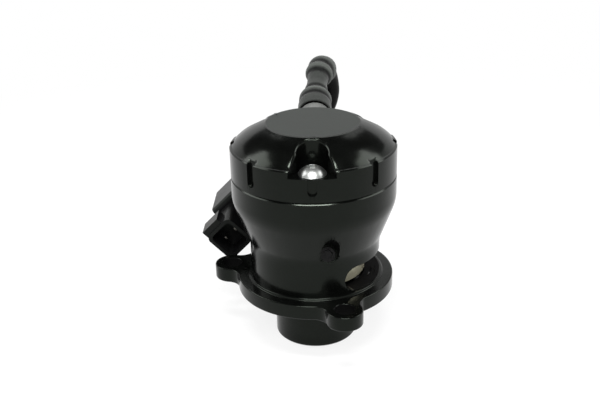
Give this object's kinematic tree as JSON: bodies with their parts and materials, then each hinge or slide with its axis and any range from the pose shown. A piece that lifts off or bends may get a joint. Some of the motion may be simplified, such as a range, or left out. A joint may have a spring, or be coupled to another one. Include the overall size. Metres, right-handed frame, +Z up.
{
  "type": "blow off valve",
  "caption": "Electronic blow off valve: waisted body with a side vent window, domed screwed cap, eared flange with a spigot, and a solenoid joined to the cap by a moulded hose.",
  "frame": {"origin": "centre of the inlet bore at the free end of the spigot", "axes": "+Z up along the valve's axis from the inlet to the cap; -Y towards the front, where a cap screw is; +X towards the vent window"},
  "size_m": [0.0683, 0.114, 0.0818],
  "materials": {
    "black_anodised": "satin black anodised",
    "rubber": "matte",
    "brown_rubber": "matte",
    "spring_wire": "drawn wire",
    "bronze_anodised": "polished, hard anodised",
    "bearing_plastic": "matte",
    "stainless": "bright",
    "fitting_metal": "satin",
    "copper": "plain",
    "hose_rubber": "moulded, semi matte",
    "moulded_plastic": "moulded black nylon",
    "cover_plastic": "moulded",
    "terminal_metal": "tinned",
    "bobbin_plastic": "moulded",
    "magnetic_iron": "turned",
    "black_steel": "black oxide"
  },
  "bodies": {
    "housing": {"flange_adapter": "black_anodised", "inlet_spigot": "black_anodised", "body": "black_anodised", "cap": "black_anodised", "blanking_plug": "black_anodised", "flange_seal": "rubber", "foot_seal": "rubber", "cap_seal": "rubber", "port_seal": "rubber", "body_retainer": "spring_wire", "piston_spring": "spring_wire", "plunger_spring": "spring_wire", "cap_screws": "stainless", "cap_fitting": "fitting_metal", "fitting_washer": "copper", "hose": "hose_rubber", "solenoid_housing": "moulded_plastic", "solenoid_cover": "cover_plastic", "terminal_pins": "terminal_metal", "coil_bobbin": "bobbin_plastic", "coil_winding": "copper", "solenoid_core": "magnetic_iron", "solenoid_screws": "black_steel"},
    "piston": {"piston": "bronze_anodised", "piston_seal": "rubber", "piston_wear_ring": "bearing_plastic", "seat_washer": "brown_rubber"},
    "plunger": {"plunger": "magnetic_iron", "plunger_tip": "rubber"}
  },
  "joints": [
    {"name": "piston_lift", "type": "slide", "parent": "housing", "child": "piston", "axis": [0, 0, 1], "range_m": [0, 0.009], "stiffness_N_per_m": 1500, "springref_m": -0.008, "deforming": ["piston_spring"]},
    {"name": "plunger_slide", "type": "slide", "parent": "housing", "child": "plunger", "axis": [-0.7071, 0, -0.7071], "range_m": [0, 0.0012], "stiffness_N_per_m": 400, "springref_m": -0.004, "deforming": ["plunger_spring"]}
  ]
}
